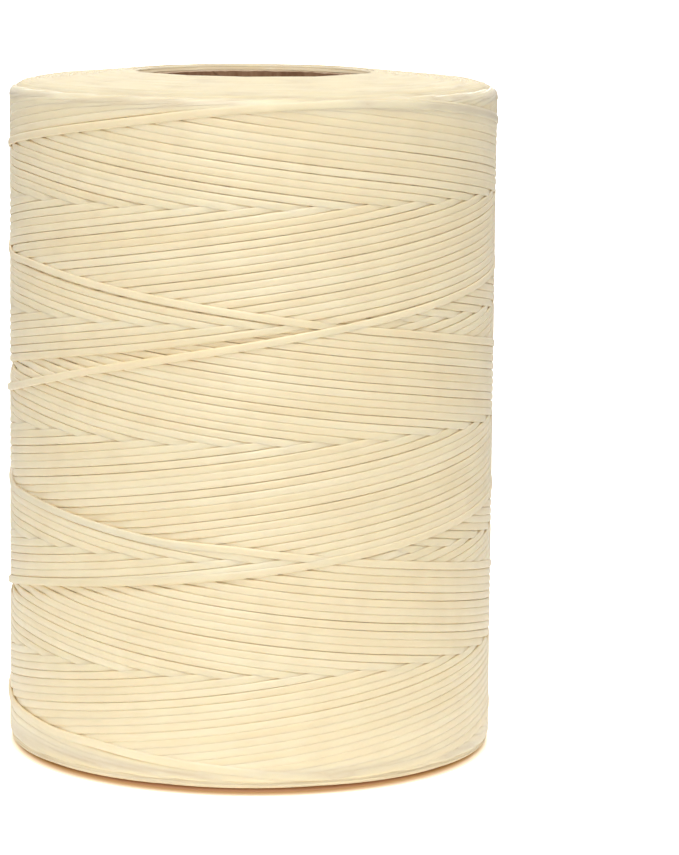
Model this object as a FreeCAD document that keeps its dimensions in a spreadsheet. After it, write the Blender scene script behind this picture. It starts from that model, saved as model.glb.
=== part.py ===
import FreeCAD, Part
import itertools
import math
import os
import Sketcher

from FreeCAD import Vector

# Spool of waxed thread: a spiral-wound paper tube that carries one long thread,
# cross-wound in strokes of about three turns from end to end.
# The axis is +Z, the origin is the middle of the lower end, and sizes are in millimetres.

DRIVING_SIZES = {
    "spool_height": 95.0,
    "spool_diameter": 70.0,
    "tube_outer_diameter": 32.0,
    "tube_bore_diameter": 28.0,
    "tube_recess": 1.5,
    "face_ply_thickness": 0.2,
    "body_ply_count": 4,
    "lip_radius": 1.7,
    "crest_radius": 17.9,
    "dome_drop": 1.35,
    "upper_shoulder_radius": 2.4,
    "lower_shoulder_radius": 1.8,
    "thread_thickness": 0.65,
    "thread_gap": 0.46,
    "core_clearance": 0.12,
    "end_margin": 2.5,
    "double_strokes": 4,
    "turns_in_double_stroke": 5.75,
}

# The core lies just inside both levels of the newest strokes.
CORE_RADIUS = (
    "Sizes.spool_diameter / 2 - 2 * Sizes.thread_thickness"
    " - Sizes.thread_gap - Sizes.core_clearance"
)
# A stroke turns back over this much of a turn, half on each side of its highest point.
REVERSAL_DEGREES = 90.0
# No step of the thread's path along a stroke is longer than a quarter turn.
LONGEST_STEP_DEGREES = 90.0
# The first stroke leaves the lower end here; 0 is +X and the front is -90.
FIRST_REVERSAL_DEGREES = -69.0
STRAND_SIDES = 8
# Spacing of the points on which the thread's gap to itself is measured.
GAP_STEP = 0.25
# Points closer than this along the thread are neighbours on one strand.
SAME_STRAND_LENGTH = 12.0
LEAST_GAP = 0.4
# Share of its expected volume by which the strand may differ.
VOLUME_TOLERANCE = 0.01
# Distance within which a round edge is taken for the one that is looked for.
EDGE_TOLERANCE = 1e-4


def make_sheet(doc):
    """Spreadsheet with one driving dimension to a row, each with its name as alias."""
    sheet = doc.addObject("Spreadsheet::Sheet", "Sizes")
    for row, (alias, value) in enumerate(DRIVING_SIZES.items(), start=1):
        sheet.set(f"A{row}", alias.replace("_", " "))
        sheet.set(f"B{row}", str(value))
        sheet.setAlias(f"B{row}", alias)
    doc.recompute()
    return sheet


def read_sizes(sheet):
    """The driving dimensions as the spreadsheet holds them."""
    return {alias: sheet.get(alias) for alias in DRIVING_SIZES}


def origin_plane(body, role):
    """The plane of the body's own origin that has this role."""
    for feature in body.Origin.OriginFeatures:
        if feature.Role == role:
            return feature
    raise RuntimeError(f"{body.Label} has no {role}")


def new_body(doc, label):
    """Empty PartDesign body whose label names the sub-part."""
    body = doc.addObject("PartDesign::Body", label)
    body.Label = label
    return body


def new_sketch(body, name, role):
    """Sketch on one of the body's own origin planes."""
    sketch = body.newObject("Sketcher::SketchObject", name)
    sketch.AttachmentSupport = [(origin_plane(body, role), "")]
    sketch.MapMode = "FlatFace"
    return sketch


def bind(sketch, constraint, name, expression):
    """Add a named constraint to the sketch and bind it to the spreadsheet."""
    index = sketch.addConstraint(constraint)
    sketch.renameConstraint(index, name)
    sketch.setExpression(f"Constraints.{name}", expression)


def make_ply(doc, size, label, inner_radius, outer_radius):
    """One paper ply of the tube: a sleeve as long as the tube, between two radii.

    The radii are expressions on the spreadsheet.
    """
    body = new_body(doc, label)
    sketch = new_sketch(body, f"{label}_section", "XY_Plane")
    for number, (name, radius) in enumerate((("inner", inner_radius), ("outer", outer_radius))):
        start_size = size["tube_outer_diameter"] / 2 + number
        sketch.addGeometry(Part.Circle(Vector(), Vector(0, 0, 1), start_size))
        sketch.addConstraint(Sketcher.Constraint("Coincident", number, 3, -1, 1))
        bind(sketch, Sketcher.Constraint("Radius", number, start_size), name, radius)
    pad = body.newObject("PartDesign::Pad", f"{label}_pad")
    pad.Profile = sketch
    pad.setExpression("Length", "Sizes.spool_height - 2 * Sizes.tube_recess")
    body.setExpression("Placement.Base.z", "Sizes.tube_recess")
    return body


def make_tube(doc, size):
    """All the plies of the paper tube, from the bore outwards."""
    bore = "Sizes.tube_bore_diameter / 2"
    outside = "Sizes.tube_outer_diameter / 2"
    liner = f"{bore} + Sizes.face_ply_thickness"
    cover = f"{outside} - Sizes.face_ply_thickness"
    body_ply = f"(({cover}) - ({liner})) / Sizes.body_ply_count"
    plies = [make_ply(doc, size, "tube_liner_ply", bore, liner)]
    for number in range(int(size["body_ply_count"])):
        inner = f"{liner} + {number} * {body_ply}"
        outer = f"{liner} + {number + 1} * {body_ply}"
        plies.append(make_ply(doc, size, f"tube_body_ply_{number + 1}", inner, outer))
    plies.append(make_ply(doc, size, "tube_cover_ply", cover, outside))
    return plies


def strand_levels(size):
    """Radii of the thread's centre line on the rising and on the falling strokes."""
    outer = (size["spool_diameter"] - size["thread_thickness"]) / 2
    inner = outer - size["thread_thickness"] - size["thread_gap"]
    return inner, outer


def ring_edge(shape, radius, height):
    """Name of the round edge of the shape that has this radius and height."""
    for number, edge in enumerate(shape.Edges, start=1):
        if not isinstance(edge.Curve, Part.Circle):
            continue
        centre = edge.Curve.Center
        apart = max(abs(edge.Curve.Radius - radius), abs(centre.z - height))
        if apart < EDGE_TOLERANCE:
            return f"Edge{number}"
    raise RuntimeError(f"no round edge of radius {radius} at height {height}")


def round_edge(doc, body, name, base, radius, height, expression):
    """Fillet one round edge of the body's last feature."""
    fillet = body.newObject("PartDesign::Fillet", name)
    fillet.Base = (base, [ring_edge(base.Shape, radius, height)])
    fillet.setExpression("Radius", expression)
    doc.recompute()
    return fillet


def make_core(doc, size):
    """The buried turns as one plain ring: flat below, domed above, with rounded edges."""
    tube = size["tube_outer_diameter"] / 2
    edge = strand_levels(size)[0] - size["thread_thickness"] / 2 - size["core_clearance"]
    height = size["spool_height"]
    crest = size["crest_radius"]
    brim = height - size["dome_drop"]
    run = edge - crest
    dome_radius = (run**2 + size["dome_drop"] ** 2) / (2 * size["dome_drop"])
    dome_centre = Vector(crest, height - dome_radius, 0)
    dome_start = math.acos(run / dome_radius)

    body = new_body(doc, "winding_core")
    sketch = new_sketch(body, "winding_core_section", "XZ_Plane")
    corners = [
        Vector(crest, height, 0),
        Vector(tube, height, 0),
        Vector(tube, 0, 0),
        Vector(edge, 0, 0),
        Vector(edge, brim, 0),
    ]
    for start, end in zip(corners, corners[1:]):
        sketch.addGeometry(Part.LineSegment(start, end))
    circle = Part.Circle(dome_centre, Vector(0, 0, 1), dome_radius)
    dome = sketch.addGeometry(Part.ArcOfCircle(circle, dome_start, math.pi / 2))
    for line in range(3):
        sketch.addConstraint(Sketcher.Constraint("Coincident", line, 2, line + 1, 1))
    sketch.addConstraint(Sketcher.Constraint("Coincident", 3, 2, dome, 1))
    sketch.addConstraint(Sketcher.Constraint("Coincident", dome, 2, 0, 1))
    sketch.addConstraint(Sketcher.Constraint("Horizontal", 0))
    sketch.addConstraint(Sketcher.Constraint("Vertical", 1))
    sketch.addConstraint(Sketcher.Constraint("Horizontal", 2))
    sketch.addConstraint(Sketcher.Constraint("Vertical", 3))
    sketch.addConstraint(Sketcher.Constraint("PointOnObject", 2, 1, -1))
    sketch.addConstraint(Sketcher.Constraint("Vertical", dome, 3, dome, 2))
    distances = (
        ("height", "DistanceY", (-1, 1, 0, 2), height, "Sizes.spool_height"),
        ("tube", "DistanceX", (-1, 1, 1, 2), tube, "Sizes.tube_outer_diameter / 2"),
        ("outside", "DistanceX", (-1, 1, 3, 1), edge, CORE_RADIUS),
        ("crest", "DistanceX", (-1, 1, 0, 1), crest, "Sizes.crest_radius"),
        ("brim", "DistanceY", (-1, 1, 3, 2), brim, "Sizes.spool_height - Sizes.dome_drop"),
    )
    for name, kind, ends, value, expression in distances:
        bind(sketch, Sketcher.Constraint(kind, *ends, value), name, expression)

    ring = body.newObject("PartDesign::Revolution", "winding_core_ring")
    ring.Profile = sketch
    ring.ReferenceAxis = (sketch, ["V_Axis"])
    ring.Angle = 360
    doc.recompute()
    last = ring
    for name, radius, level, expression in (
        ("upper_shoulder", edge, brim, "Sizes.upper_shoulder_radius"),
        ("lower_shoulder", edge, 0, "Sizes.lower_shoulder_radius"),
        ("upper_lip", tube, height, "Sizes.lip_radius"),
        ("lower_lip", tube, 0, "Sizes.lip_radius"),
    ):
        last = round_edge(doc, body, name, last, radius, level, expression)
    body.Tip = last
    return body


def biarc(start, start_way, end, end_way):
    """Two arcs that join two points, in the unit directions given, without a corner."""
    chord = end - start
    both = start_way + end_way
    ahead = chord.dot(both)
    spread = 2 * (1 - start_way.dot(end_way))
    reach = (math.sqrt(ahead**2 + spread * chord.dot(chord)) - ahead) / spread
    first_corner = start + start_way * reach
    last_corner = end - end_way * reach
    joint = (first_corner + last_corner) / 2
    return [arc_by_corner(start, first_corner, joint), arc_by_corner(joint, last_corner, end)]


def arc_by_corner(start, corner, end):
    """Arc from start to end that touches both lines to the corner between them."""
    middle = (start + end) / 2
    half_chord = start.distanceToPoint(end) / 2
    half_turn = math.acos(min(1.0, half_chord / start.distanceToPoint(corner)))
    outwards = (corner - middle).normalize()
    return Part.Arc(start, middle + outwards * half_chord * math.tan(half_turn / 2), end)


def helix_point(radius, degrees, height, climb):
    """Point of a helix at an angle, and the unit direction of the thread there.

    The climb is the height that the helix gains in a turn, less than 0 where it falls.
    """
    turn = math.radians(degrees)
    point = Vector(radius * math.cos(turn), radius * math.sin(turn), height)
    rise = climb / (2 * math.pi)
    way = Vector(-radius * math.sin(turn), radius * math.cos(turn), rise).normalize()
    return point, way


def stroke_points(size):
    """Points and directions of the thread, stroke after stroke, as one list."""
    inner, outer = strand_levels(size)
    stroke_degrees = 180.0 * size["turns_in_double_stroke"]
    straight_degrees = stroke_degrees - REVERSAL_DEGREES
    steps = math.ceil(straight_degrees / LONGEST_STEP_DEGREES)
    low = size["end_margin"]
    high = size["spool_height"] - size["end_margin"]
    # A reversal is an arc on the unrolled surface, so it turns back half way up to the
    # point where the two strokes would meet.
    lost = REVERSAL_DEGREES / 4
    climb = 360.0 * (high - low) / (stroke_degrees - 2 * lost)
    meeting = low - climb * lost / 360.0
    points = []
    for stroke in range(2 * int(size["double_strokes"])):
        rising = stroke % 2 == 0
        first = FIRST_REVERSAL_DEGREES + stroke * stroke_degrees + REVERSAL_DEGREES / 2
        for step in range(steps + 1):
            turned = REVERSAL_DEGREES / 2 + step * straight_degrees / steps
            height = meeting + climb * turned / 360.0
            if not rising:
                height = size["spool_height"] - height
            degrees = first + step * straight_degrees / steps
            radius = inner if rising else outer
            points.append(helix_point(radius, degrees, height, climb if rising else -climb))
    return points


def thread_path(size):
    """The thread's centre line: biarcs from point to point, with short straight ends."""
    points = stroke_points(size)
    tail = size["thread_thickness"]
    first_point, first_way = points[0]
    last_point, last_way = points[-1]
    pieces = [Part.LineSegment(first_point - first_way * tail, first_point)]
    for (start, start_way), (end, end_way) in zip(points, points[1:]):
        pieces.extend(biarc(start, start_way, end, end_way))
    pieces.append(Part.LineSegment(last_point, last_point + last_way * tail))
    return Part.Wire([piece.toShape() for piece in pieces])


def least_gap(path, thickness):
    """Least distance between two strands of the path, less the thread's thickness."""
    count = int(path.Length / GAP_STEP)
    spacing = path.Length / count
    neighbours = SAME_STRAND_LENGTH / spacing
    samples = []
    for edge in path.OrderedEdges:
        samples.extend(edge.discretize(Number=max(2, round(edge.Length / spacing)))[:-1])
    cell = 2 * thickness
    cells = {}
    least = cell
    for number, point in enumerate(samples):
        place = tuple(math.floor(value / cell) for value in point)
        for step in itertools.product((-1, 0, 1), repeat=3):
            for other in cells.get(tuple(a + b for a, b in zip(place, step)), ()):
                if number - other > neighbours:
                    least = min(least, point.distanceToPoint(samples[other]))
        cells.setdefault(place, []).append(number)
    return least - thickness


def strand_section(path, radius):
    """Eight-sided section of the strand at the start of its path, square to it."""
    first = path.OrderedEdges[0]
    start = first.valueAt(first.FirstParameter)
    way = first.tangentAt(first.FirstParameter)
    side = way.cross(Vector(0, 0, 1)).normalize()
    other_side = way.cross(side)
    corners = []
    for number in range(STRAND_SIDES + 1):
        turn = 2 * math.pi * (number + 0.5) / STRAND_SIDES
        corners.append(start + side * radius * math.cos(turn) + other_side * radius * math.sin(turn))
    return Part.makePolygon(corners)


def make_outer_turns(doc, size):
    """The newest strokes of the thread as one eight-sided strand on two levels.

    Rising strokes lie inside falling ones, and a stroke changes level where it turns back.
    """
    path = thread_path(size)
    radius = size["thread_thickness"] / 2
    section = strand_section(path, radius)
    turns = doc.addObject("Part::Feature", "outer_turns")
    turns.Label = "outer_turns"
    turns.Shape = path.makePipeShell([section], True, False)
    turns.Placement = FreeCAD.Placement()
    gap = least_gap(path, 2 * radius)
    expected = Part.Face(section).Area * path.Length
    share = turns.Shape.Volume / expected
    print(f"thread path {path.Length:.1f} mm, least gap to itself {gap:.3f} mm")
    print(f"strand volume {turns.Shape.Volume:.2f} mm3, {share:.5f} of section times length")
    if gap < LEAST_GAP:
        raise RuntimeError("the thread lies too close to itself")
    if abs(share - 1) > VOLUME_TOLERANCE:
        raise RuntimeError("the strand's volume is wrong")
    return turns


def check(doc, parts):
    """Stop if any object failed or any sub-part has no valid solid."""
    for item in doc.Objects:
        if "Invalid" in item.State or "Error" in item.State:
            raise RuntimeError(f"{item.Label} failed: {item.State}")
    for part in parts:
        if part.Shape.isNull() or not part.Shape.isValid():
            raise RuntimeError(f"{part.Label} has no valid shape")


def main():
    """Build the spool and write one STEP file for each sub-part."""
    doc = FreeCAD.newDocument("thread_spool")
    size = read_sizes(make_sheet(doc))
    parts = make_tube(doc, size)
    parts.append(make_core(doc, size))
    parts.append(make_outer_turns(doc, size))
    doc.recompute()
    check(doc, parts)
    os.makedirs("parts", exist_ok=True)
    for part in parts:
        part.Shape.exportStep(f"parts/{part.Label}.step")
        box = part.Shape.optimalBoundingBox(False)
        low = f"{box.XMin:.3f} {box.YMin:.3f} {box.ZMin:.3f}"
        high = f"{box.XMax:.3f} {box.YMax:.3f} {box.ZMax:.3f}"
        print(f"{part.Label}: {low} to {high}, {part.Shape.Volume:.1f} mm3")


main()
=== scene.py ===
"""The looks of a waxed thread spool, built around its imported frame.

The spool is one flat waxed thread, cross-wound on a spiral-wound paper tube. The thread runs from
end to end of the spool in strokes of three turns, and each double stroke ends a little further
round, so that after 29 of them the strands lie side by side in two crossing families. The newer
strand lies on top at every crossing, which gives the rows of chevrons, and the newest strokes lie
on top all the way.

Lengths are in metres and angles in radians, apart from the pairs that say millimetres or degrees.
An angle round the spool is 0 at the front and grows to the right.
"""

import logging
import math
import random
from collections.abc import Callable, Sequence
from dataclasses import dataclass
from enum import Enum

import bpy
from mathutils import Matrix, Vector

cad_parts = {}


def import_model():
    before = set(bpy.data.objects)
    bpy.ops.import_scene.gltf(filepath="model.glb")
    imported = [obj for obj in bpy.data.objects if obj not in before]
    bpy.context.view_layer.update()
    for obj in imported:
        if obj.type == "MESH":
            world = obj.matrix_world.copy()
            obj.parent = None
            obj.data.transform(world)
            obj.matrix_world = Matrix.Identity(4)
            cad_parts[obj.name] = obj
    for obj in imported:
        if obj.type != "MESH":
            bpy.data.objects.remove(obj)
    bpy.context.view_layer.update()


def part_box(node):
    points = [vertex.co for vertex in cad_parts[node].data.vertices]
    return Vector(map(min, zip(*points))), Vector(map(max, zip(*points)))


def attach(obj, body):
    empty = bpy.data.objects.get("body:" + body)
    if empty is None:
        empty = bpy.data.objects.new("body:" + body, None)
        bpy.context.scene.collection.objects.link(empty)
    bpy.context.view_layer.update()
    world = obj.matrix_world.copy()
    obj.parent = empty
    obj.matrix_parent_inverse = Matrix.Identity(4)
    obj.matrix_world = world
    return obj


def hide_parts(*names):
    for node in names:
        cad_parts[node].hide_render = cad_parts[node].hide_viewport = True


LOG = logging.getLogger("waxed_thread_spool")
MM = 0.001
FULL_TURN = 2 * math.pi
WHITE = (1.0, 1.0, 1.0)
# Vertices nearer than this are merged.
WELD = 0.0000001
# Most values of a noise lie between these.
MOST_NOISE = (0.3, 0.7)
# The lip round the tube at both ends, as radius and depth below the end in millimetres.
TUBE_LIP = ((16.0, 1.45), (16.15, 0.75), (16.55, 0.2), (17.2, 0.0))

Triple = tuple[float, float, float]
Pair = tuple[float, float]
Knots = Sequence[Pair]
Stops = tuple[tuple[float, Triple], ...]
Path = list[tuple[Vector, float, float]]
Socket = bpy.types.NodeSocket


class Slot(Enum):
    """The record's material slots."""

    THREAD = "waxed_thread"
    PAPER = "kraft_paper"


class End(Enum):
    """An end of the spool, as the sign of its outward direction along the axis."""

    UPPER = 1
    LOWER = -1


# What the chance in each end face starts from.
END_SEEDS = {End.UPPER: 3, End.LOWER: 4}


def smooth_step(x: float) -> float:
    """Rises smoothly from 0 at x = 0 to 1 at x = 1."""
    x = min(max(x, 0.0), 1.0)
    return x * x * (3 - 2 * x)


def between(knots: Knots, x: float) -> float:
    """Reads a smooth line through knots that never swings past a knot's value.

    Args:
        knots: Pairs of place and value, in order of place.
        x: Where to read the line.

    Returns:
        The value at x, and past either end the end's own value.
    """
    if x <= knots[0][0]:
        return knots[0][1]
    if x >= knots[-1][0]:
        return knots[-1][1]
    rises = [(b[1] - a[1]) / (b[0] - a[0]) for a, b in zip(knots, knots[1:])]
    i = max(j for j in range(len(rises)) if knots[j][0] <= x)

    def slope(j: int) -> float:
        """Gives the line's slope at a knot, level at a peak, a dip or an end.

        Args:
            j: The knot's number.

        Returns:
            The slope.
        """
        if j in (0, len(rises)) or rises[j - 1] * rises[j] <= 0:
            return 0.0
        return 2 * rises[j - 1] * rises[j] / (rises[j - 1] + rises[j])

    run = knots[i + 1][0] - knots[i][0]
    t = (x - knots[i][0]) / run
    blend = smooth_step(t)
    level = knots[i][1] * (1 - blend) + knots[i + 1][1] * blend
    return level + run * t * (1 - t) * (slope(i) * (1 - t) - slope(i + 1) * t)


def along(points: Knots, x: float) -> float:
    """Reads a line of straight runs through points.

    Args:
        points: Pairs of place and value, in order of place.
        x: Where to read the line.

    Returns:
        The value at x, and past either end the end's own value.
    """
    if x <= points[0][0]:
        return points[0][1]
    for (x0, y0), (x1, y1) in zip(points, points[1:]):
        if x < x1:
            return y0 + (y1 - y0) * (x - x0) / (x1 - x0)
    return points[-1][1]


def in_mm(*pairs: Pair) -> Knots:
    """Turns pairs of millimetres into pairs of metres."""
    return tuple((first * MM, second * MM) for first, second in pairs)


def around(radius: float, angle: float, height: float) -> Vector:
    """Gives the point at a radius, an angle round the spool and a height."""
    return Vector((radius * math.sin(angle), -radius * math.cos(angle), height))


def add_object(name: str, data: bpy.types.ID) -> bpy.types.Object:
    """Puts a new object in the scene.

    Args:
        name: The object's name.
        data: Its curve, camera or light.

    Returns:
        The object.
    """
    made = bpy.data.objects.new(name, data)
    bpy.context.scene.collection.objects.link(made)
    return made


def begin(name: str, add: Callable[..., set], **settings: object) -> bpy.types.Object:
    """Starts a piece from a primitive, with nothing else selected and its place in its mesh.

    Args:
        name: The piece's name.
        add: The operator that adds the primitive.
        settings: The operator's settings.

    Returns:
        The piece, in object mode.
    """
    bpy.ops.object.select_all(action="DESELECT")
    add(**settings)
    made = bpy.context.object
    made.name = name
    made.data.name = name
    bpy.ops.object.transform_apply()
    return made


def select_only(made: bpy.types.Object) -> None:
    """Makes one object the selected, active one.

    Args:
        made: The object.
    """
    if bpy.context.object and bpy.context.object.mode != "OBJECT":
        bpy.ops.object.mode_set(mode="OBJECT")
    bpy.ops.object.select_all(action="DESELECT")
    made.select_set(True)
    bpy.context.view_layer.objects.active = made


def select_vertices(made: bpy.types.Object, wanted: Callable[[Vector], bool]) -> None:
    """Selects vertices of the object in edit mode by their place.

    Args:
        made: The object, in edit mode.
        wanted: Says of a vertex's place whether it is taken.
    """
    bpy.ops.mesh.select_mode(type="VERT")
    bpy.ops.mesh.select_all(action="DESELECT")
    bpy.ops.object.mode_set(mode="OBJECT")
    for vertex in made.data.vertices:
        vertex.select = wanted(vertex.co)
    bpy.ops.object.mode_set(mode="EDIT")


class NodeWork:
    """A node tree under construction."""

    def __init__(self, tree: bpy.types.NodeTree) -> None:
        """Keeps the tree."""
        self.tree = tree

    def node(self, kind: str, **settings: object) -> bpy.types.Node:
        """Adds a node.

        Args:
            kind: The node's type name.
            settings: Properties of the node, by name.

        Returns:
            The node.
        """
        made = self.tree.nodes.new(kind)
        for name, value in settings.items():
            setattr(made, name, value)
        return made

    def link(self, source: Socket, target: Socket) -> None:
        """Joins two sockets."""
        self.tree.links.new(source, target)

    def joined(self, made: bpy.types.Node, *sources: Socket) -> Socket:
        """Links sockets to a node's first inputs, in order.

        Args:
            made: The node.
            sources: The sockets.

        Returns:
            The node's first output.
        """
        for source, target in zip(sources, made.inputs):
            self.link(source, target)
        return made.outputs[0]

    def higher(self, first: Socket, second: Socket) -> Socket:
        """Takes the higher of two grey values."""
        return self.joined(self.node("ShaderNodeMath", operation="MAXIMUM"), first, second)

    def mixed(self, share: Socket, first: Socket, second: Socket) -> Socket:
        """Mixes two shaders by a grey value, 0 for the first and 1 for the second."""
        return self.joined(self.node("ShaderNodeMixShader"), share, first, second)


class Shader(NodeWork):
    """A node material under construction."""

    def __init__(self, name: str) -> None:
        """Makes the material with its Principled shader.

        Args:
            name: The material's name.
        """
        self.material = bpy.data.materials.new(name)
        self.material.use_nodes = True
        super().__init__(self.material.node_tree)
        self.surface = self.tree.nodes["Principled BSDF"]

    def give(self, name: str, value: Socket | Triple | float) -> None:
        """Gives one of the surface's inputs a socket to read or a value.

        Args:
            name: The input's name.
            value: The socket or the value.
        """
        if isinstance(value, Socket):
            self.link(value, self.surface.inputs[name])
        else:
            self.surface.inputs[name].default_value = value

    def object_point(self) -> Socket:
        """Reads the surface's own place, which doesn't change when the spool is turned."""
        return self.node("ShaderNodeTexCoord").outputs["Object"]

    def uv_point(self, name: str) -> Socket:
        """Reads a piece's own map along its thread."""
        return self.node("ShaderNodeUVMap", uv_map=name).outputs["UV"]

    def length(self, point: Socket) -> Socket:
        """Measures how far a point is from the origin.

        Args:
            point: The socket that gives the point.

        Returns:
            The distance's socket.
        """
        made = self.node("ShaderNodeVectorMath", operation="LENGTH")
        self.link(point, made.inputs[0])
        return made.outputs["Value"]

    def stretched(self, point: Socket, scale: Triple) -> Socket:
        """Scales a point along its axes.

        Args:
            point: The socket that gives the point.
            scale: One factor for each axis.

        Returns:
            The scaled point's socket.
        """
        made = self.node("ShaderNodeMapping", vector_type="POINT")
        made.inputs["Scale"].default_value = scale
        return self.joined(made, point)

    def noise(self, point: Socket, scale: float, detail: float) -> Socket:
        """Reads cloudy noise.

        Args:
            point: The socket that gives the place.
            scale: How many clouds fit in one unit.
            detail: How many finer rounds of noise are added.

        Returns:
            The noise's grey socket, about 0.5 on the whole.
        """
        made = self.node("ShaderNodeTexNoise")
        made.inputs["Scale"].default_value = scale
        made.inputs["Detail"].default_value = detail
        self.link(point, made.inputs["Vector"])
        return made.outputs["Fac"]

    def ramp(self, value: Socket, stops: Stops) -> Socket:
        """Turns a grey value into a colour.

        Args:
            value: The grey socket.
            stops: Pairs of place and linear colour, in order.

        Returns:
            The colour's socket.
        """
        made = self.node("ShaderNodeValToRGB")
        elements = made.color_ramp.elements
        while len(elements) < len(stops):
            elements.new(0.5)
        for element, (place, colour) in zip(elements, stops):
            element.position = place
            element.color = (*colour, 1.0)
        return self.joined(made, value)

    def spread(self, value: Socket, source: Pair, target: Pair) -> Socket:
        """Stretches a grey value from one range to another.

        Args:
            value: The grey socket.
            source: Low and high end of what comes in.
            target: Low and high end of what goes out.

        Returns:
            The stretched socket.
        """
        made = self.node("ShaderNodeMapRange")
        ends = ("From Min", "From Max", "To Min", "To Max")
        for name, end in zip(ends, (*source, *target)):
            made.inputs[name].default_value = end
        return self.joined(made, value)

    def multiplied(self, first: Socket, second: Socket) -> Socket:
        """Multiplies two colours.

        Args:
            first: One colour's socket.
            second: The other's.

        Returns:
            The product's socket.
        """
        made = self.node("ShaderNodeMix", data_type="RGBA", blend_type="MULTIPLY")
        made.inputs["Factor"].default_value = 1.0
        self.link(first, made.inputs["A"])
        self.link(second, made.inputs["B"])
        return made.outputs["Result"]

    def bump(self, height: Socket, strength: float, depth: float) -> None:
        """Gives the surface a relief.

        Args:
            height: The grey socket that gives the relief.
            strength: From 0 to 1.
            depth: The relief's height.
        """
        made = self.node("ShaderNodeBump")
        made.inputs["Strength"].default_value = strength
        made.inputs["Distance"].default_value = depth
        self.link(height, made.inputs["Height"])
        self.give("Normal", made.outputs["Normal"])


@dataclass(frozen=True)
class WaxedThreadFinish:
    """Cream polyester thread, flattened and filled with wax: satin with faint filaments along it.

    Its map runs in metres along the thread, and from 0 to 1 round it.
    """

    name: str = "waxed_thread_cream"
    roughness: float = 0.36
    specular: float = 0.7
    tones: Stops = ((0.3, (0.89, 0.72, 0.45)), (0.7, (0.94, 0.79, 0.535)))
    tone_length: float = 0.05
    tones_round: float = 0.4
    wax: Stops = ((0.25, (0.955, 0.945, 0.93)), (0.6, WHITE))
    wax_scale: float = 240.0
    filament_length: float = 0.012
    filaments_round: float = 19.8
    relief: float = 0.03 * MM
    relief_strength: float = 0.55
    roughness_change: Pair = (-0.05, 0.09)
    translucency: float = 0.25
    light_reach: float = 1.0 * MM
    light_colour: Triple = (1.0, 0.62, 0.34)

    def material(self) -> bpy.types.Material:
        """Builds the finish.

        Returns:
            The material.
        """
        shader = Shader(self.name)
        place = shader.uv_point("UVMap")
        slow = shader.stretched(place, (1 / self.tone_length, self.tones_round, 1.0))
        tone = shader.ramp(shader.noise(slow, scale=1.0, detail=2.0), self.tones)
        clouds = shader.noise(shader.object_point(), self.wax_scale, detail=3.0)
        shader.give("Base Color", shader.multiplied(tone, shader.ramp(clouds, self.wax)))
        fine = shader.stretched(place, (1 / self.filament_length, self.filaments_round, 1.0))
        filaments = shader.noise(fine, scale=1.0, detail=3.0)
        shader.bump(filaments, self.relief_strength, self.relief)
        low, high = (self.roughness + change for change in self.roughness_change)
        shader.give("Roughness", shader.spread(filaments, MOST_NOISE, (low, high)))
        shader.give("Specular IOR Level", self.specular)
        shader.give("Subsurface Weight", self.translucency)
        shader.give("Subsurface Radius", self.light_colour)
        shader.give("Subsurface Scale", self.light_reach)
        return shader.material


@dataclass(frozen=True)
class BuriedThreadFinish:
    """The turns under the newest ones, seen down the gaps: the same thread, deeper and warmer in
    colour as painted shade for the gaps.
    """

    name: str = "waxed_thread_buried_painted_shade"
    # Painted shade: tones deeper and warmer than the thread's own, for the shaded gaps between the
    # newest strands.
    tones: Stops = ((0.3, (0.74, 0.53, 0.30)), (0.7, (0.86, 0.68, 0.43)))
    roughness: float = 0.6
    clouds_across: float = 60.0
    turn_pitch: float = 1.1 * MM
    relief: float = 0.2 * MM
    relief_strength: float = 0.6

    def material(self) -> bpy.types.Material:
        """Builds the finish.

        Returns:
            The material.
        """
        shader = Shader(self.name)
        scale = (self.clouds_across, self.clouds_across, 1 / self.turn_pitch)
        point = shader.stretched(shader.object_point(), scale)
        turns = shader.noise(point, scale=1.0, detail=1.0)
        shader.give("Base Color", shader.ramp(turns, self.tones))
        shader.give("Roughness", self.roughness)
        shader.bump(turns, self.relief_strength, self.relief)
        return shader.material


@dataclass(frozen=True)
class KraftPaperFinish:
    """Brown kraft board: long pale and dark fibres on a matte ground, with stains of glue."""

    name: str = "kraft_paper_brown"
    fibres: Stops = (
        (0.32, (0.27, 0.145, 0.078)),
        (0.62, (0.40, 0.235, 0.135)),
        (0.8, (0.55, 0.36, 0.22)),
    )
    fibre_scale: float = 900.0
    fibre_stretch: Triple = (1.0, 1.0, 0.35)
    stains: Stops = ((0.35, (0.82, 0.79, 0.76)), (0.6, WHITE))
    stain_scale: float = 130.0
    roughness: Pair = (0.95, 0.8)
    specular: float = 0.25
    relief: float = 0.06 * MM
    relief_strength: float = 0.8

    def material(self) -> bpy.types.Material:
        """Builds the finish.

        Returns:
            The material.
        """
        shader = Shader(self.name)
        point = shader.object_point()
        long_point = shader.stretched(point, self.fibre_stretch)
        fibres = shader.noise(long_point, self.fibre_scale, detail=5.0)
        stains = shader.ramp(shader.noise(point, self.stain_scale, detail=3.0), self.stains)
        shader.give("Base Color", shader.multiplied(shader.ramp(fibres, self.fibres), stains))
        shader.give("Roughness", shader.spread(fibres, MOST_NOISE, self.roughness))
        shader.give("Specular IOR Level", self.specular)
        shader.bump(fibres, self.relief_strength, self.relief)
        return shader.material


@dataclass(frozen=True)
class CutPaperFinish:
    """The board's cut edge: paler, rough and fibrous."""

    name: str = "kraft_paper_cut_edge"
    fibres: Stops = ((0.3, (0.42, 0.27, 0.16)), (0.65, (0.62, 0.44, 0.29)))
    fibre_scale: float = 2200.0
    roughness: float = 0.9
    relief: float = 0.08 * MM

    def material(self) -> bpy.types.Material:
        """Builds the finish.

        Returns:
            The material.
        """
        shader = Shader(self.name)
        fibres = shader.noise(shader.object_point(), self.fibre_scale, detail=4.0)
        shader.give("Base Color", shader.ramp(fibres, self.fibres))
        shader.give("Roughness", self.roughness)
        shader.bump(fibres, strength=1.0, depth=self.relief)
        return shader.material


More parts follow.
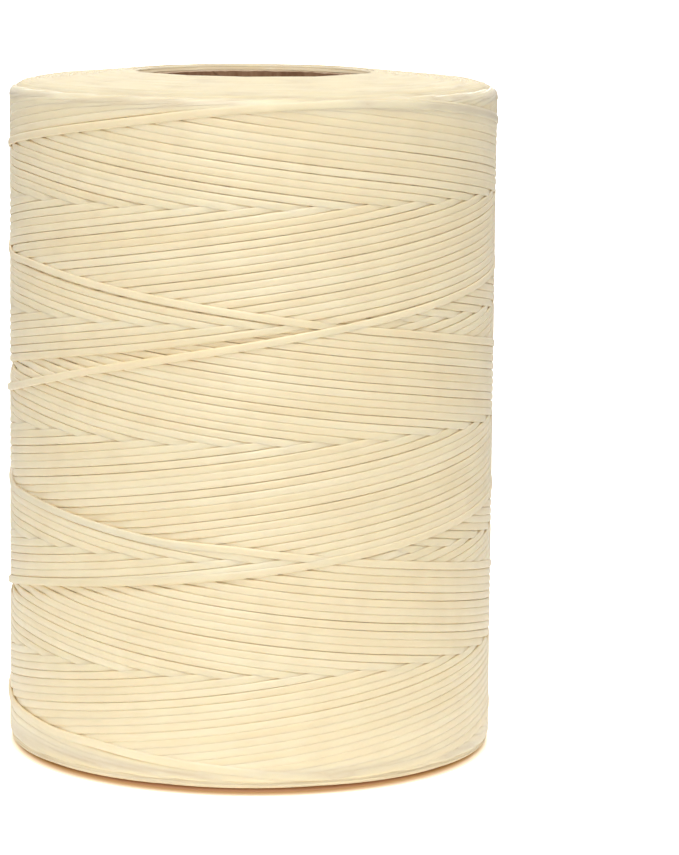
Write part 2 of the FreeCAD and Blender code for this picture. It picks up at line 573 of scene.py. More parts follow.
@dataclass(frozen=True)
class WhiteTableFinish:
    """A white table that looks brighter than paper, so that only the near shadow shows, and that
    near shadow is painted warm round the spool's foot over the real one.
    """

    name: str = "white_table"
    white: Triple = (0.9, 0.9, 0.9)
    glow: float = 0.31
    glow_ends: Pair = (0.04, 0.17)
    seen_ends: Pair = (0.17, 2.5)
    seen: Pair = (2.1, 9.0)
    shadow_shift: Triple = (0.0, 4.0 * MM, 0.0)
    shadow_ends: Pair = (30.0 * MM, 38.0 * MM)
    # Painted shadow: warm dark colours at the spool's foot fading to white, by distance from a
    # point just in front of the axis.
    shadow: Stops = (
        (0.03, (0.19, 0.10, 0.06)),
        (0.16, (0.22, 0.13, 0.06)),
        (0.27, (0.33, 0.23, 0.145)),
        (0.41, (0.58, 0.53, 0.46)),
        (0.56, (0.85, 0.85, 0.85)),
        (0.70, WHITE),
    )

    def material(self) -> bpy.types.Material:
        """Builds the finish, one for the camera and one for the light on the spool.

        Returns:
            The material.
        """
        shader = Shader(self.name)
        shader.tree.nodes.remove(shader.surface)
        place = shader.object_point()
        distance = shader.length(place)
        rays = shader.node("ShaderNodeLightPath").outputs
        lit = self.lit(shader, distance)
        mixed = shader.mixed(rays["Is Camera Ray"], lit, self.looked_at(shader, place, distance))
        shader.link(mixed, shader.tree.nodes["Material Output"].inputs["Surface"])
        return shader.material

    def lit(self, shader: Shader, distance: Socket) -> Socket:
        """Makes what lights the spool: a white surface with a glow near it.

        Args:
            shader: The material.
            distance: The distance from the spool's axis.

        Returns:
            The shader's socket.
        """
        surface = shader.node("ShaderNodeBsdfDiffuse")
        surface.inputs["Color"].default_value = (*self.white, 1.0)
        glow = shader.node("ShaderNodeEmission")
        strength = shader.spread(distance, self.glow_ends, (self.glow, 0.0))
        shader.link(strength, glow.inputs["Strength"])
        both = shader.node("ShaderNodeAddShader")
        return shader.joined(both, surface.outputs["BSDF"], glow.outputs["Emission"])

    def looked_at(self, shader: Shader, place: Socket, distance: Socket) -> Socket:
        """Makes what the camera sees: a painted warm shadow, as of light bounced off the thread, at
        the spool's foot over the real shadow, and then white.

        Args:
            shader: The material.
            place: The surface's own place.
            distance: The distance from the spool's axis.

        Returns:
            The shader's socket.
        """
        shifted = shader.node("ShaderNodeVectorMath", operation="ADD")
        shifted.inputs[1].default_value = self.shadow_shift
        from_foot = shader.length(shader.joined(shifted, place))
        share = shader.spread(from_foot, self.shadow_ends, (0.0, 1.0))
        scaled = shader.node("ShaderNodeVectorMath", operation="SCALE")
        shader.link(shader.spread(distance, self.seen_ends, self.seen), scaled.inputs["Scale"])
        colour = shader.joined(scaled, shader.ramp(share, self.shadow))
        return shader.joined(shader.node("ShaderNodeBsdfDiffuse"), colour)


@dataclass(frozen=True)
class EndShape:
    """The meridian of the wound body: how far its surface stands out and up.

    Each outline gives pairs of radius and depth below its end, from the bore outwards.
    """

    height: float
    bore_radius: float
    side_radius: float = 34.15 * MM
    upper: Knots = in_mm(
        *TUBE_LIP,
        (20.0, 0.26), (24.0, 0.64), (29.15, 1.13), (31.0, 1.27),
        (32.4, 1.6), (33.4, 2.1), (33.9, 2.55), (34.15, 3.15),
    )
    lower: Knots = in_mm(
        *TUBE_LIP,
        (31.15, 0.0), (32.65, 0.06), (33.65, 0.18), (34.02, 0.38), (34.15, 0.75),
    )
    shoulder_from: float = 0.9
    slope_step: float = 0.25 * MM

    def outline(self, end: End) -> Knots:
        """Gives an end's outline."""
        return self.upper if end is End.UPPER else self.lower

    def from_end(self, end: End, value: float) -> float:
        """Turns a depth below an end into a height, or a height into such a depth."""
        return self.height - value if end is End.UPPER else value

    def walk(self, end: End, distance: float) -> Triple:
        """Walks along an end's outline from the bore outwards.

        Args:
            end: The end.
            distance: How far to walk.

        Returns:
            The radius, the depth, and the angle by which the surface faces up off the radius.
        """
        outline = self.outline(end)
        lengths = [0.0]
        for (r0, d0), (r1, d1) in zip(outline, outline[1:]):
            lengths.append(lengths[-1] + math.hypot(r1 - r0, d1 - d0))
        radii = [(length, r) for length, (r, _) in zip(lengths, outline)]
        depths = [(length, d) for length, (_, d) in zip(lengths, outline)]
        step = self.slope_step
        run = along(radii, distance + step) - along(radii, distance - step)
        fall = along(depths, distance + step) - along(depths, distance - step)
        facing = math.pi / 2 - math.atan2(fall, run)
        return along(radii, distance), along(depths, distance), facing

    def radius(self, height: float) -> float:
        """Gives the side's radius at a height, drawn in at the shoulders.

        Args:
            height: Height above the lower end.

        Returns:
            The radius of the surface.
        """
        end = End.UPPER if height > self.height / 2 else End.LOWER
        least = self.shoulder_from * self.side_radius
        shoulder = [(depth, radius) for radius, depth in self.outline(end) if radius > least]
        return along(shoulder, self.from_end(end, height))

    def lean(self, height: float) -> float:
        """Gives how far the side's outward direction points up (or down, below 0) at a height.

        Args:
            height: Height above the lower end.

        Returns:
            The angle.
        """
        step = self.slope_step
        inwards = self.radius(height - step) - self.radius(height + step)
        return math.atan2(inwards, 2 * step)


@dataclass(frozen=True)
class Strand:
    """The flat thread's own cross-section, and how a path of it becomes a mesh."""

    width: float = 1.05 * MM
    thickness: float = 0.54 * MM
    squareness: float = 3.4
    outer_points: int = 8
    inner_points: int = 3
    smooth_angle: float = math.radians(80)

    def section(self, name: str) -> bpy.types.Object:
        """Makes the cross-section as a closed flat curve, thick along X and wide along Y.

        Args:
            name: The curve's name.

        Returns:
            The curve object.
        """
        front = self.outer_points - 1
        back = self.inner_points + 1
        angles = [math.pi / 2 - math.pi * i / front for i in range(self.outer_points)]
        angles += [-math.pi / 2 - math.pi * i / back for i in range(1, back)]
        data = bpy.data.curves.new(name, "CURVE")
        data.dimensions = "2D"
        spline = data.splines.new("POLY")
        spline.points.add(len(angles) - 1)
        spline.use_cyclic_u = True
        power = 2 / self.squareness
        for point, angle in zip(spline.points, angles):
            out = math.copysign(abs(math.cos(angle)) ** power, math.cos(angle)) * self.thickness / 2
            up = math.copysign(abs(math.sin(angle)) ** power, math.sin(angle)) * self.width / 2
            point.co = (out, up, 0, 1)
        return add_object(name, data)

    def reach(self, lean: float) -> float:
        """Gives how far the section reaches from its middle, in a direction off its flat face's.

        Args:
            lean: The angle between that direction and the flat face's own.

        Returns:
            The distance.
        """
        power = self.squareness / (self.squareness - 1)
        flat = (abs(math.cos(lean)) * self.thickness / 2) ** power
        edge = (abs(math.sin(lean)) * self.width / 2) ** power
        return (flat + edge) ** (1 / power)

    def mesh(self, name: str, paths: list[Path], finish: bpy.types.Material) -> bpy.types.Object:
        """Sweeps the cross-section along paths and makes the result one mesh.

        Args:
            name: The piece's name.
            paths: Paths, each a list of point, lean and size of the section.
            finish: The piece's finish.

        Returns:
            The mesh object, whose map runs in metres along each path.
        """
        section = self.section(name + "_section")
        data = bpy.data.curves.new(name, "CURVE")
        data.dimensions = "3D"
        data.twist_mode = "Z_UP"
        data.use_fill_caps = True
        data.bevel_mode = "OBJECT"
        data.bevel_object = section
        for path in paths:
            spline = data.splines.new("POLY")
            spline.points.add(len(path) - 1)
            for point, (place, lean, size) in zip(spline.points, path):
                point.co = (*place, 1)
                point.tilt = -lean
                point.radius = size
        select_only(add_object(name, data))
        bpy.ops.object.convert(target="MESH")
        made = bpy.context.object
        bpy.data.objects.remove(section)
        self.measure_map(made, paths)
        made.data.materials.append(finish)
        return made

    def measure_map(self, made: bpy.types.Object, paths: list[Path]) -> None:
        """Stretches a swept mesh's map so that it runs in metres along the thread, and welds it.

        Args:
            made: The swept mesh, its caps' vertices before its sides'.
            paths: The paths that it was swept along.
        """
        count = self.outer_points + self.inner_points
        caps = []
        sides = []
        start = 0.0
        for path in paths:
            length = sum((b[0] - a[0]).length for a, b in zip(path, path[1:]))
            caps = [(start, length)] * (2 * count) + caps
            sides += [(start, length)] * (count * len(path))
            start += length
        lengths = caps + sides
        layer = made.data.uv_layers[0].uv
        corners = [0] * len(made.data.loops)
        made.data.loops.foreach_get("vertex_index", corners)
        values = [0.0] * (2 * len(corners))
        layer.foreach_get("vector", values)
        for i, vertex in enumerate(corners):
            begins, length = lengths[vertex]
            values[2 * i] = begins + values[2 * i] * length
        layer.foreach_set("vector", values)
        bpy.ops.object.mode_set(mode="EDIT")
        bpy.ops.mesh.select_all(action="SELECT")
        bpy.ops.mesh.remove_doubles(threshold=WELD)
        bpy.ops.object.mode_set(mode="OBJECT")
        bpy.ops.object.shade_smooth_by_angle(angle=self.smooth_angle)


@dataclass
class CrossWinding:
    """The newest turns of the thread, as one path in strokes from end to end.

    Strands that rise to the right alternate with strands that fall to the right. Both families
    hold as many strands as there are double strokes, a strand's width apart, so they fill the
    spool's side on two levels. A way is how far the thread is wound, in height at the even slope.

    The pairs of numbers are chosen from crossings seen in the photograph. The falling
    drift is in millimetres against degrees round the spool. The newest strokes' heights and rises
    are in millimetres against turns after the last lowest point. The waves are a guess at the
    guide's small swings: size in millimetres, length in turns, and start.
    """

    shape: EndShape
    strand: Strand
    finish: bpy.types.Material
    double_strokes: int = 29
    turns_per_stroke: int = 3
    turn_height: float = 31.468 * MM
    lowest_apex: float = -0.29 * MM
    apex_angle: float = math.radians(21)
    level_step: float = 0.32 * MM
    reversal: float = math.radians(90)
    even_from: float = 0.4
    steps_per_turn: int = 112
    changes_ahead: int = 4
    pieces: int = 6
    first_joint: float = math.radians(153)
    free_end: float = math.radians(150)
    tuck: float = math.radians(28)
    tuck_levels: float = 2.6
    end_press: float = 0.15
    end_press_full: float = 4.0 * MM
    end_press_fade: float = 8.0 * MM
    low_press: float = 0.055
    waves: tuple[Triple, ...] = (
        (0.018, 0.83, 0.4),
        (0.012, 0.37, 2.1),
        (0.022, 4.7, 1.3),
        (0.008, 0.113, 5.0),
    )
    falling_drift: Knots = (
        (-165, 0.0), (-100, -1.8), (-81, -1.9), (-62, -0.9), (-47, -0.6),
        (-25, -0.5), (0, -0.35), (20, -0.2), (45, 0.0),
    )
    newest_heights: Knots = (
        (-2.6, 0.0), (-2.283, 0.0), (-2.21, 0.2), (-2.13, 0.2), (-2.0, 0.0),
        (-1.6, 0.0), (-1.283, -1.15), (-1.127, -1.0), (-1.058, -0.1), (-0.95, 0.0),
        (-0.6, 0.0), (-0.283, -0.3), (-0.237, -0.6), (-0.208, -0.5), (-0.157, 0.4),
        (-0.1, 0.5), (0.0, 0.0), (0.45, 0.0), (0.78, 1.1),
        (1.0, 0.1), (1.45, 0.0), (1.72, -3.0), (1.856, -1.28),
        (1.942, -0.5), (2.0, -0.25), (2.046, -0.1), (2.101, 0.0),
        (2.6, 0.0), (2.94, -0.3), (3.017, -0.55), (3.137, -1.2), (3.4, -0.6),
    )
    newest_rises: Knots = (
        (-3.0, 0.0), (-2.9, 0.12), (-2.5, 0.12), (-2.32, 0.2), (-2.15, 0.12),
        (-1.5, 0.12), (-1.32, 0.15), (-1.15, 0.12), (-0.5, 0.12),
        (-0.32, 0.28), (-0.1, 0.12), (0.0, 0.08), (0.45, 0.12),
        (0.72, 0.25), (1.0, 0.12), (1.45, 0.15), (1.68, 0.35), (1.9, 0.35),
        (2.0, 0.12), (2.5, 0.12), (2.72, 0.22), (2.9, 0.2), (3.1, 0.15),
    )

    def __post_init__(self) -> None:
        """Works out the pattern's other sizes."""
        self.spacing = self.turn_height / self.double_strokes
        self.stroke = self.turns_per_stroke * self.turn_height + self.spacing / 2
        self.rounding = self.turn_height * self.reversal / FULL_TURN / 2
        self.last_lowest = 2 * self.stroke * self.double_strokes
        self.last_highest = self.last_lowest + self.stroke
        self.end = self.last_highest + self.turn_height * self.free_end / FULL_TURN

    def angle(self, way: float) -> float:
        """Gives the angle round the spool."""
        return self.apex_angle + FULL_TURN * way / self.turn_height

    def newest_turns(self, way: float) -> float:
        """Counts the turns after the last lowest point."""
        return (way - self.last_lowest) / self.turn_height

    def straying(self, way: float) -> float:
        """Gives how far the thread lies above its even place, after the guide's small swings.

        Args:
            way: Way wound.

        Returns:
            The extra height.
        """
        return sum(
            size * MM * math.sin(FULL_TURN * way / (length * self.turn_height) + start)
            for size, length, start in self.waves
        )

    def drift(self, way: float) -> float:
        """Gives how far the falling strands lie above an even screw, by the angle."""
        degrees = (math.degrees(self.angle(way)) + 180) % 360 - 180
        return between(self.falling_drift, degrees) * MM

    def newest_straying(self, way: float) -> float:
        """Gives how far the newest strokes lie above their even places."""
        return between(self.newest_heights, self.newest_turns(way)) * MM

    def newest_lift(self, way: float) -> float:
        """Gives how far the newest strokes ride above the strands that they cross.

        Args:
            way: Way wound.

        Returns:
            The lift in levels, which falls below 0 where the free end is tucked under.
        """
        lift = between(self.newest_rises, self.newest_turns(way)) * MM / self.level_step
        tucked = smooth_step((way - self.end) / (self.turn_height * self.tuck / FULL_TURN) + 1)
        return lift - self.tuck_levels * tucked

    def depth_changes(self) -> list[Triple]:
        """Lists where the thread climbs on the crossing strands and where it dives under them.

        Returns:
            Triples of way, width of the change and +1 for a climb or -1 for a dive, in order.
        """
        changes = []
        narrow = self.spacing / 2
        turn = self.turn_height
        for stroke in range(1, self.double_strokes + 1):
            lowest = 2 * self.stroke * stroke
            age = (stroke - 0.5) * narrow
            for whole in reversed(range(self.turns_per_stroke)):
                for part in (0, 1):
                    base = (2 * whole + part) * turn / 2
                    changes.append((lowest - base - age, narrow, 1))
                    if base > 0:
                        changes.append((lowest - base - narrow / 2, narrow, -1))
            changes.append((lowest, self.spacing, -1))
            climb = (self.double_strokes - stroke + 0.5) * narrow
            for half in range(2 * self.turns_per_stroke):
                base = half * turn / 2
                changes.append((lowest + base + climb, narrow, 1))
                if half < 2 * self.turns_per_stroke - 1:
                    changes.append((lowest + base + turn / 2 + narrow / 2, narrow, -1))
            changes.append((lowest + self.stroke, self.spacing, -1))
        return sorted(changes)

    def point(self, way: float, level: float) -> tuple[Vector, float, float]:
        """Gives a point of the thread's centre line.

        Args:
            way: Way wound.
            level: 0 under the crossing strands, 1 on top of them, more for the newest strokes.

        Returns:
            The point, the strand's lean there, and its section's size, pressed wide near the ends.
        """
        lowest = 2 * self.stroke * round(way / (2 * self.stroke))
        from_lowest = abs(way - lowest)
        from_highest = self.stroke - from_lowest
        height = self.lowest_apex + from_lowest
        if from_lowest < self.rounding:
            height += (self.rounding - from_lowest) ** 2 / (2 * self.rounding)
        if from_highest < self.rounding:
            height -= (self.rounding - from_highest) ** 2 / (2 * self.rounding)
        even = smooth_step(from_lowest / self.rounding - self.even_from)
        even *= smooth_step(from_highest / self.rounding - self.even_from)
        falling = self.drift(way) if way < lowest else 0.0
        height += (self.straying(way) + falling) * even + self.newest_straying(way)
        lean = self.shape.lean(height)
        depth = self.strand.thickness / 2 + self.level_step * (1 - level)
        radius = self.shape.radius(height) - depth * math.cos(lean)
        height -= depth * math.sin(lean)
        from_end = min(height, self.shape.height - height)
        faded = smooth_step((from_end - self.end_press_full) / self.end_press_fade)
        pressed = 1 + self.end_press * (1 - faded)
        pressed += self.low_press * (1 - height / self.shape.height)
        return around(radius, self.angle(way), height), lean, pressed

    def path(self) -> Path:
        """Walks the whole thread once.

        Returns:
            Point, lean and size of the section, from the oldest turn shown to the free end.
        """
        changes = self.depth_changes()
        step = self.turn_height / self.steps_per_turn
        count = round((self.end - self.stroke) / step)
        made = []
        level = 0.0
        done = 0
        for i in range(count + 1):
            way = self.stroke + (self.end - self.stroke) * i / count
            even_way = way - self.drift(way) / 2
            while done < len(changes) and changes[done][0] + changes[done][1] / 2 < even_way:
                level += changes[done][2]
                done += 1
            partly = 0.0
            for place, width, change in changes[done : done + self.changes_ahead]:
                partly += change * smooth_step((even_way - place) / width + 0.5)
            whole = min(max(level + partly, 0.0), 1.0)
            if way > self.last_highest:
                whole = 1.0
            made.append(self.point(way, whole + self.newest_lift(way)))
        return made

    def build(self) -> list[bpy.types.Object]:
        """Builds the thread in pieces that meet end to end.

        Returns:
            The pieces.
        """
        path = self.path()
        share = round(len(path) / self.pieces / self.steps_per_turn) * self.steps_per_turn
        offset = round(self.first_joint / FULL_TURN * self.steps_per_turn)
        joints = [0] + [offset + share * i for i in range(1, self.pieces)] + [len(path) - 1]
        made = []
        for i, (first, last) in enumerate(zip(joints, joints[1:])):
            name = f"cross_wound_thread_{i + 1}"
            made.append(self.strand.mesh(name, [path[first : last + 1]], self.finish))
        return made


@dataclass(frozen=True)
class EndTurns:
    """The reversals of the buried strokes: an end face of arcs that lie one over another.

    The last four pairs bound what chance adds to an arc: its turn, in arcs, and three lengths in
    millimetres.
    """

    shape: EndShape
    strand: Strand
    finish: bpy.types.Material
    end: End
    seed: int
    rings: int = 32
    first_ring: float = 0.45 * MM
    ring_pitch: float = 0.60 * MM
    dropped_rings: int = 3
    ring_drop: float = 0.10 * MM
    arcs_per_ring: int = 11
    half_span: float = math.radians(32)
    steps_per_arc: int = 20
    shingle: float = math.radians(12)
    sunk: float = 0.25 * MM
    flank: float = 1.9 * MM
    turned_by: Pair = (-0.2, 0.2)
    drift_mm: Pair = (-0.05, 0.12)
    drop_mm: Pair = (0.0, 0.03)
    moved_mm: Pair = (-0.04, 0.04)

    def arc(self, distance: float, middle: float, drift: float, drop: float) -> Path:
        """Makes one reversal arc.

        Args:
            distance: How far along the outline its middle lies.
            middle: The angle of its middle.
            drift: How far it moves along the outline from its middle to its end.
            drop: How far it lies below its even place.

        Returns:
            Point, lean and size of the section along the arc.
        """
        made = []
        sunk = self.sunk * smooth_step(distance / self.flank - 0.5)
        for i in range(self.steps_per_arc + 1):
            share = 2 * i / self.steps_per_arc - 1
            radius, below, facing = self.shape.walk(self.end, distance + drift * share)
            lean = self.end.value * (facing - self.shingle)
            depth = self.strand.reach(self.shingle) + sunk * share * share + drop
            radius -= depth * math.cos(facing)
            height = self.shape.from_end(self.end, below + depth * math.sin(facing))
            made.append((around(radius, middle + self.half_span * share, height), lean, 1.0))
        return made

    def build(self) -> bpy.types.Object:
        """Builds the end face's arcs as one piece.

        Returns:
            The piece.
        """
        chance = random.Random(self.seed)
        paths = []
        for ring in range(self.rings):
            distance = self.first_ring + self.ring_pitch * ring
            start = chance.uniform(0, FULL_TURN)
            ring_drop = self.ring_drop * max(ring - self.rings + self.dropped_rings, 0)
            for i in range(self.arcs_per_ring):
                turned = i + chance.uniform(*self.turned_by)
                middle = start + FULL_TURN * turned / self.arcs_per_ring
                drift = chance.uniform(*self.drift_mm) * MM
                drop = ring_drop + chance.uniform(*self.drop_mm) * MM
                moved = chance.uniform(*self.moved_mm) * MM
                paths.append(self.arc(distance + moved, middle, drift, drop))
        return self.strand.mesh(f"{self.end.name.lower()}_end_turns", paths, self.finish)


@dataclass(frozen=True)
class BuriedTurns:
    """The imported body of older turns, which closes the gaps between the newest ones."""

    shape: EndShape
    finish: bpy.types.Material
    side_depth: float = 0.88 * MM
    end_depth: float = 0.62 * MM
    segments: int = 160
    bore_slack: float = 0.01 * MM
    weld: float = 0.001 * MM
    smooth_angle: float = math.radians(50)

    def meridian(self) -> list[Pair]:
        """Lists the body's outline from the bore's lower edge round the outside to its upper edge.

        Returns:
            Pairs of radius and height.
        """
        made = []
        for end in (End.LOWER, End.UPPER):
            part = []
            for radius, depth in self.shape.outline(end):
                below = depth if radius <= self.shape.bore_radius else depth + self.end_depth
                outer = min(radius, self.shape.side_radius - self.side_depth)
                part.append((outer, self.shape.from_end(end, below)))
            made += part if end is End.LOWER else part[::-1]
        return made

    def build(self) -> bpy.types.Object:
        """Turns the outline round the axis, ring by ring.

        Returns:
            The piece.
        """
        outline = self.meridian()
        radius, height = outline[0]
        piece = begin(
            "buried_turns",
            bpy.ops.mesh.primitive_circle_add,
            vertices=self.segments,
            radius=radius,
            location=(0, 0, height),
        )
        bpy.ops.object.mode_set(mode="EDIT")
        bpy.ops.mesh.select_all(action="SELECT")
        for (r0, z0), (r1, z1) in zip(outline, outline[1:]):
            bpy.ops.mesh.extrude_edges_move(TRANSFORM_OT_translate={"value": (0, 0, z1 - z0)})
            bpy.ops.transform.resize(value=(r1 / r0, r1 / r0, 1), center_override=(0, 0, z1))
        bore = self.shape.bore_radius + self.bore_slack
        select_vertices(piece, lambda place: place.xy.length < bore)
        bpy.ops.mesh.bridge_edge_loops()
        bpy.ops.mesh.select_all(action="SELECT")
        bpy.ops.mesh.remove_doubles(threshold=self.weld)
        bpy.ops.mesh.normals_make_consistent(inside=False)
        bpy.ops.object.mode_set(mode="OBJECT")
        bpy.ops.object.shade_smooth_by_angle(angle=self.smooth_angle)
        piece.data.materials.append(self.finish)
        return piece


@dataclass(frozen=True)
class PaperPly:
    """One paper strip of the tube, wound as a screw and trimmed square at both ends."""

    node: str
    name: str
    wall: float
    start: float
    seed: int
    face: bpy.types.Material
    edge: bpy.types.Material
    seam: float = 0.22 * MM
    screw: float = 54.0 * MM
    segments: int = 120
    shrink: float = 0.012 * MM
    longer: float = 0.55 * MM
    raggedness: float = 0.05 * MM
    ragged_ends: Pair = (-0.6, 0.95)
    edge_facing: float = 0.5
    smooth_angle: float = math.radians(40)

    def build(self) -> bpy.types.Object:
        """Winds, thickens and trims the strip.

        Returns:
            The piece.
        """
        low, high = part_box(self.node)
        low[2] -= self.longer
        high[2] += self.longer
        outer = high[0] - self.shrink
        bore = outer - self.wall + 2 * self.shrink
        piece = self.strip(bore, low[2])
        winding = piece.modifiers.new("winding", "SCREW")
        winding.angle = FULL_TURN
        winding.screw_offset = self.screw
        winding.iterations = math.ceil((high[2] - low[2]) / self.screw) + 2
        winding.steps = self.segments
        winding.render_steps = self.segments
        winding.use_normal_calculate = True
        bpy.ops.object.modifier_apply(modifier=winding.name)
        wall = piece.modifiers.new("wall", "SOLIDIFY")
        wall.thickness = outer - bore
        wall.offset = 1.0
        wall.use_even_offset = True
        bpy.ops.object.modifier_apply(modifier=wall.name)
        self.trim(piece, low[2], high[2])
        self.turn(piece)
        self.dress(piece, low[2], high[2])
        return piece

    def strip(self, bore: float, low: float) -> bpy.types.Object:
        """Makes the upright edge that the strip is wound from, one turn below the lower cut.

        Args:
            bore: The ply's inner radius.
            low: Height of the lower cut.

        Returns:
            The piece, a single edge as long as the strip is wide.
        """
        width = self.screw - self.seam
        upright = (math.pi / 2, 0, 0)
        piece = begin(self.name, bpy.ops.mesh.primitive_plane_add, size=width, rotation=upright)
        bpy.ops.object.mode_set(mode="EDIT")
        select_vertices(piece, lambda place: place.x < 0)
        bpy.ops.mesh.delete(type="VERT")
        bpy.ops.mesh.select_all(action="SELECT")
        bpy.ops.transform.translate(value=(bore - width / 2, 0, low - self.screw))
        bpy.ops.object.mode_set(mode="OBJECT")
        return piece

    def trim(self, piece: bpy.types.Object, low: float, high: float) -> None:
        """Cuts both ends square.

        Args:
            piece: The wound strip.
            low: Height of the lower end.
            high: Height of the upper end.
        """
        bpy.ops.object.mode_set(mode="EDIT")
        for height, outward in ((low + self.raggedness, -1), (high - self.raggedness, 1)):
            bpy.ops.mesh.select_all(action="SELECT")
            bpy.ops.mesh.bisect(
                plane_co=(0, 0, height),
                plane_no=(0, 0, outward),
                use_fill=True,
                clear_outer=True,
                threshold=WELD,
            )
        bpy.ops.mesh.select_all(action="SELECT")
        bpy.ops.mesh.normals_make_consistent(inside=False)
        bpy.ops.mesh.select_all(action="DESELECT")
        bpy.ops.object.mode_set(mode="OBJECT")

    def turn(self, piece: bpy.types.Object) -> None:
        """Turns the ply to where its strip was started.

        Args:
            piece: The trimmed ply.
        """
        piece.rotation_euler = (0, 0, self.start)
        select_only(piece)
        bpy.ops.object.transform_apply()

    def dress(self, piece: bpy.types.Object, low: float, high: float) -> None:
        """Gives the ply's faces and cut edges their finishes, and lets the cut edges wander.

        Args:
            piece: The trimmed ply.
            low: Height of the lower end.
            high: Height of the upper end.
        """
        chance = random.Random(self.seed)
        near = 2 * self.raggedness
        for vertex in piece.data.vertices:
            above = vertex.co.z > high - near
            if above or vertex.co.z < low + near:
                outward = 1 if above else -1
                vertex.co.z += outward * chance.uniform(*self.ragged_ends) * self.raggedness
        piece.data.materials.append(self.face)
        piece.data.materials.append(self.edge)
        for face in piece.data.polygons:
            face.material_index = int(abs(face.normal.z) > self.edge_facing)
        bpy.ops.object.shade_smooth_by_angle(angle=self.smooth_angle)


@dataclass(frozen=True)
class PaperTube:
    """The spiral-wound tube: a thin liner, body plies and a thin cover, each its own strip."""

    face: bpy.types.Material
    edge: bpy.types.Material
    body_plies: int = 4
    thin_wall: float = 0.2 * MM
    body_wall: float = 0.4 * MM
    first_start: float = math.radians(35)
    start_step: float = math.radians(103)
    first_seed: int = 10

    def build(self) -> list[tuple[str, bpy.types.Object]]:
        """Builds every ply.

        Returns:
            Pairs of the CAD node that the ply stands for and the ply.
        """
        plies = [("tube_liner_ply", "tube_liner", self.thin_wall)]
        for i in range(1, self.body_plies + 1):
            plies.append((f"tube_body_ply_{i}", f"tube_ply_{i}", self.body_wall))
        plies.append(("tube_cover_ply", "tube_cover", self.thin_wall))
        made = []
        for i, (node, name, wall) in enumerate(plies):
            start = self.first_start + self.start_step * i
            ply = PaperPly(node, name, wall, start, self.first_seed + i, self.face, self.edge)
            made.append((node, ply.build()))
        return made


@dataclass(frozen=True)
class Softbox:
    """A square soft light that faces the spool's middle."""

    name: str
    place: Triple
    size: float
    power: float
    aim: Triple = (0.0, 0.0, 0.05)

    def build(self) -> None:
        """Adds the light."""
        data = bpy.data.lights.new(self.name, "AREA")
        data.shape = "SQUARE"
        data.size = self.size
        data.energy = self.power
        made = add_object(self.name, data)
        made.location = self.place
        towards = Vector(self.aim) - Vector(self.place)
        made.rotation_euler = towards.to_track_quat("-Z", "Y").to_euler()


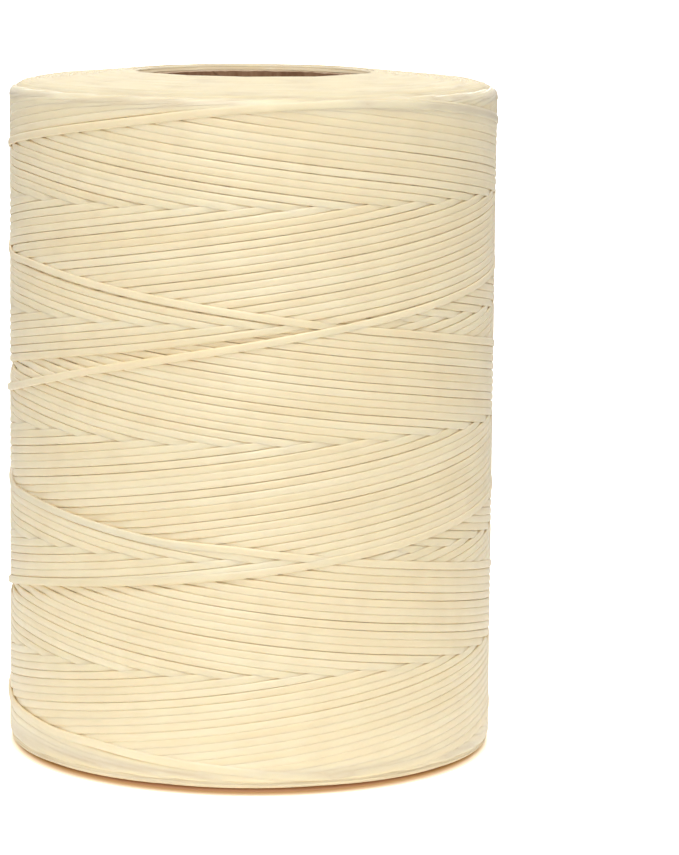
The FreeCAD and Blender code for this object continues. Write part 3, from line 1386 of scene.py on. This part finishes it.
@dataclass(frozen=True)
class Studio:
    """The white table, the soft lights and the camera."""

    image_width: int = 679
    image_height: int = 855
    camera_back: float = 0.53
    camera_height: float = 0.1235
    camera_pitch: float = math.radians(7.74)
    camera_roll: float = math.radians(0.40)
    focal_pixels: float = 3777.0
    axis_column: float = 251.6
    axis_row: float = 377.5
    sensor: float = 36.0
    nearest: float = 0.01
    furthest: float = 100.0
    ambient: float = 0.42
    table_size: float = 40.0
    softboxes: tuple[Softbox, ...] = (
        Softbox("front_softbox", (-0.12, -1.1, 0.55), 0.6, 3.1),
        Softbox("top_softbox", (0.0, -0.3, 0.85), 0.5, 4.2),
        Softbox("back_softbox", (0.0, 0.9, 0.45), 0.4, 1.8),
    )

    def camera(self) -> None:
        """Sets the camera at the photograph's place, its frame shifted as the photograph's is."""
        data = bpy.data.cameras.new("camera")
        data.sensor_fit = "AUTO"
        data.sensor_width = self.sensor
        long_side = max(self.image_width, self.image_height)
        data.lens = self.sensor * self.focal_pixels / long_side
        data.shift_x = (self.image_width / 2 - self.axis_column) / long_side
        data.shift_y = -(self.image_height / 2 - self.axis_row) / long_side
        data.clip_start = self.nearest
        data.clip_end = self.furthest
        made = add_object("camera", data)
        made.location = (0, -self.camera_back, self.camera_height)
        made.rotation_mode = "ZXY"
        made.rotation_euler = (math.pi / 2 - self.camera_pitch, 0, self.camera_roll)
        bpy.context.scene.camera = made

    def table(self) -> None:
        """Lays the white table, which isn't part of the spool."""
        made = begin("table", bpy.ops.mesh.primitive_plane_add, size=self.table_size)
        made.data.materials.append(WhiteTableFinish().material())

    def surroundings(self) -> None:
        """Lights the room evenly, and shows it white to the camera and in reflections."""
        world = bpy.data.worlds.new("room")
        bpy.context.scene.world = world
        world.use_nodes = True
        work = NodeWork(world.node_tree)
        light = work.tree.nodes["Background"]
        white = work.node("ShaderNodeBackground")
        for room, strength in ((light, self.ambient), (white, 1.0)):
            room.inputs["Color"].default_value = (*WHITE, 1.0)
            room.inputs["Strength"].default_value = strength
        rays = work.node("ShaderNodeLightPath").outputs
        seen = work.higher(rays["Is Camera Ray"], rays["Is Glossy Ray"])
        seen = work.higher(seen, rays["Is Transmission Ray"])
        mixed = work.mixed(seen, light.outputs[0], white.outputs[0])
        work.link(mixed, work.tree.nodes["World Output"].inputs["Surface"])

    def build(self) -> None:
        """Sets up the whole studio."""
        self.camera()
        self.table()
        self.surroundings()
        for softbox in self.softboxes:
            softbox.build()
        bpy.context.scene.view_settings.view_transform = "Standard"


def add_to_spool(piece: bpy.types.Object, slot: Slot, *nodes: str) -> None:
    """Puts a finished piece on the spool's body and reports it.

    Args:
        piece: The piece.
        slot: The record's slot that its finish belongs to; not used.
        nodes: The CAD nodes that it stands for.
    """
    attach(piece, "root")
    if nodes:
        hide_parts(*nodes)
    LOG.info("%s: %d faces", piece.name, len(piece.data.polygons))


def main() -> None:
    """Builds the spool and its studio."""
    logging.basicConfig(level=logging.INFO, format="%(message)s")
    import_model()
    core_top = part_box("winding_core")[1]
    cover_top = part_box("tube_cover_ply")[1]
    shape = EndShape(height=core_top[2], bore_radius=cover_top[0])
    strand = Strand()
    thread = WaxedThreadFinish().material()
    for piece in CrossWinding(shape, strand, thread).build():
        add_to_spool(piece, Slot.THREAD, "outer_turns")
    worn = WaxedThreadFinish(name="waxed_thread_ends", roughness=0.66, specular=0.15).material()
    for end, seed in END_SEEDS.items():
        add_to_spool(EndTurns(shape, strand, worn, end, seed).build(), Slot.THREAD, "winding_core")
    buried = BuriedThreadFinish().material()
    add_to_spool(BuriedTurns(shape, buried).build(), Slot.THREAD, "winding_core")
    tube = PaperTube(KraftPaperFinish().material(), CutPaperFinish().material())
    for node, ply in tube.build():
        add_to_spool(ply, Slot.PAPER, node)
    Studio().build()


if __name__ == "__main__":
    main()
